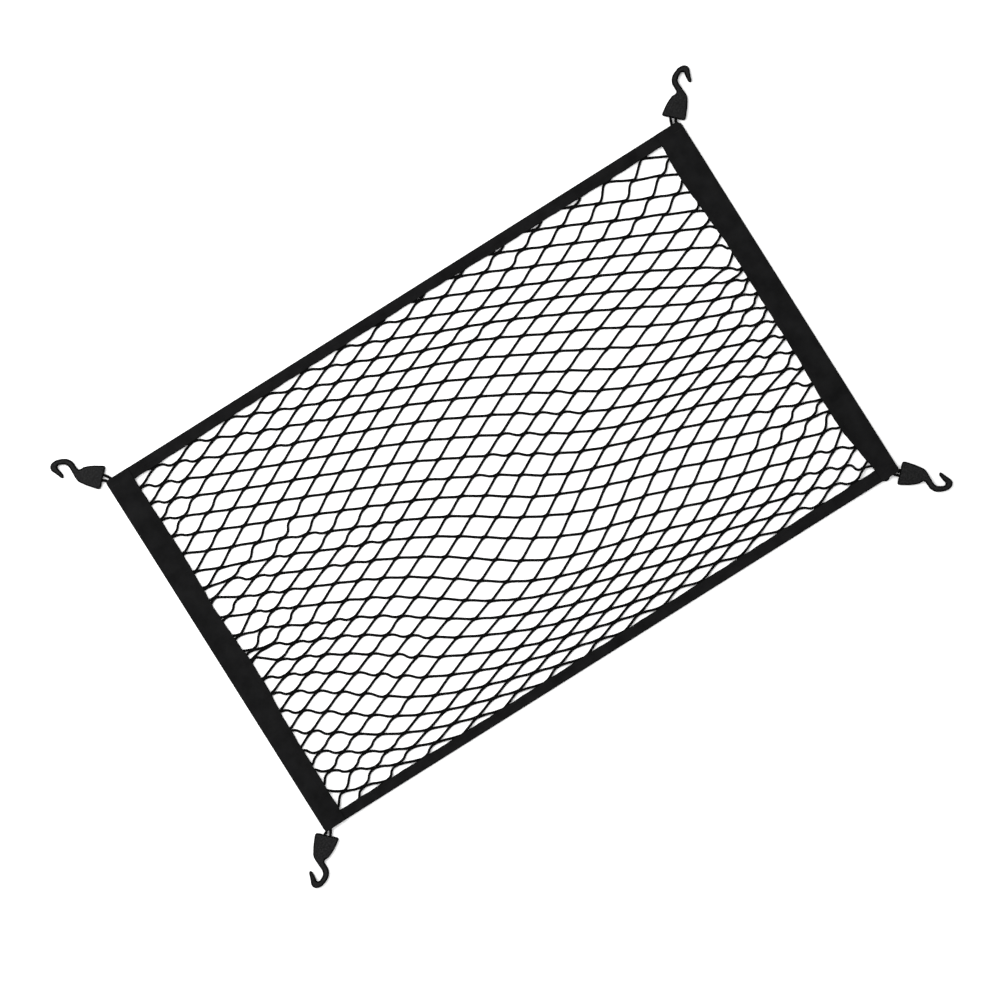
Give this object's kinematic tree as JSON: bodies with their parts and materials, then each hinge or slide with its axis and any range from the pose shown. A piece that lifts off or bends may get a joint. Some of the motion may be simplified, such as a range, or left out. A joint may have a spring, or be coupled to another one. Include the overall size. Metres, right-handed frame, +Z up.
{
  "type": "cargo net",
  "caption": "Rectangular elastic cargo net: diamond mesh bound with webbing, and a moulded plastic hook on a short cord loop at each corner.",
  "frame": {"origin": "middle of the part's box, on the surface that the net lies on", "axes": "+X along the long side, +Y along the short side, +Z up from the surface"},
  "size_m": [1.1168, 0.7398, 0.0078],
  "materials": {
    "net_strand": "matte braided elastic strand, black",
    "webbing": "matte woven webbing, black",
    "hook_plastic": "finely grained moulded plastic, black",
    "loop_cord": "braided elastic cord, black"
  },
  "bodies": {
    "root": {"net_panel": "net_strand", "end_band_left": "webbing", "end_band_right": "webbing", "side_band_back": "webbing", "side_band_front": "webbing", "loop_back_left": "loop_cord", "loop_back_right": "loop_cord", "loop_front_left": "loop_cord", "loop_front_right": "loop_cord", "hook_back_left": "hook_plastic", "hook_back_right": "hook_plastic", "hook_front_left": "hook_plastic", "hook_front_right": "hook_plastic"}
  },
  "joints": []
}
